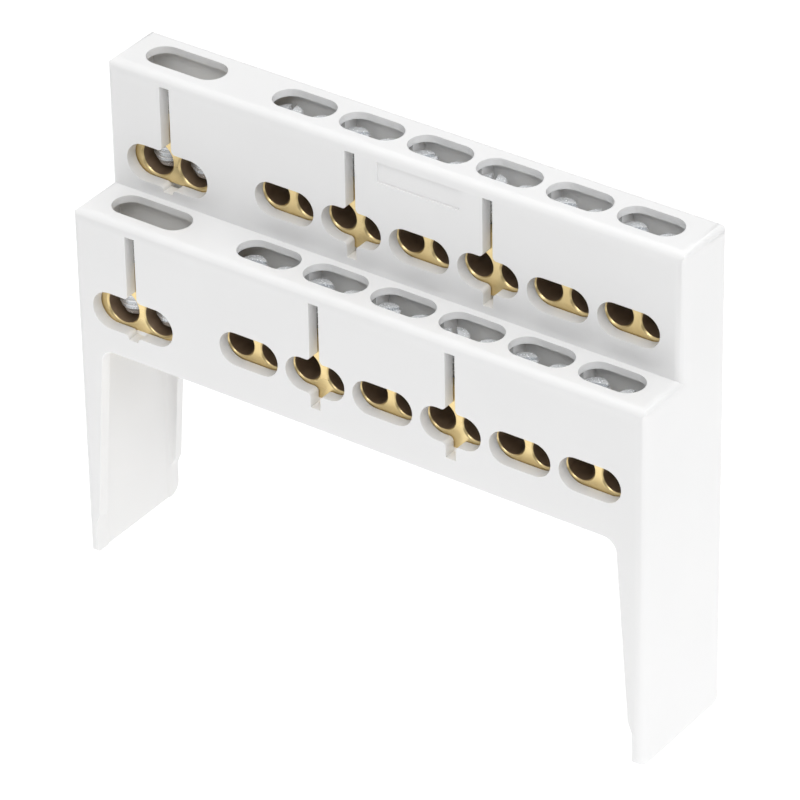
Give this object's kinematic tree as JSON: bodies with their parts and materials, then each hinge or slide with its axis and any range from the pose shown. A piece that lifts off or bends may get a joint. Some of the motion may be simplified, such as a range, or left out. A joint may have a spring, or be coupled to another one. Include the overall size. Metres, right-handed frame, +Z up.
{
  "type": "earth terminal bar",
  "caption": "White two-tier earth terminal bar: brass bars with slotted clamp screws in a stepped plastic housing that stands on two channel-shaped legs.",
  "frame": {"origin": "On the plane that the feet stand on, midway along and midway through the body", "axes": "+X along the bars, away from the large terminals; -Y is the side that the wires enter; +Z up"},
  "size_m": [0.11, 0.0226, 0.0885],
  "materials": {
    "housing_white": "gloss",
    "bar_brass": "satin",
    "screw_steel": "bright zinc"
  },
  "bodies": {
    "root": {"housing": "housing_white", "lower_bar": "bar_brass", "upper_bar": "bar_brass", "lower_screw_1": "screw_steel", "lower_screw_2": "screw_steel", "lower_screw_3": "screw_steel", "lower_screw_4": "screw_steel", "lower_screw_5": "screw_steel", "lower_screw_6": "screw_steel", "lower_screw_7": "screw_steel", "lower_screw_8": "screw_steel", "lower_screw_9": "screw_steel", "lower_screw_10": "screw_steel", "lower_screw_11": "screw_steel", "lower_screw_12": "screw_steel", "upper_screw_1": "screw_steel", "upper_screw_2": "screw_steel", "upper_screw_3": "screw_steel", "upper_screw_4": "screw_steel", "upper_screw_5": "screw_steel", "upper_screw_6": "screw_steel", "upper_screw_7": "screw_steel", "upper_screw_8": "screw_steel", "upper_screw_9": "screw_steel", "upper_screw_10": "screw_steel", "upper_screw_11": "screw_steel", "upper_screw_12": "screw_steel", "lower_big_screw_1": "screw_steel", "lower_big_screw_2": "screw_steel", "upper_big_screw_1": "screw_steel", "upper_big_screw_2": "screw_steel"}
  },
  "joints": []
}
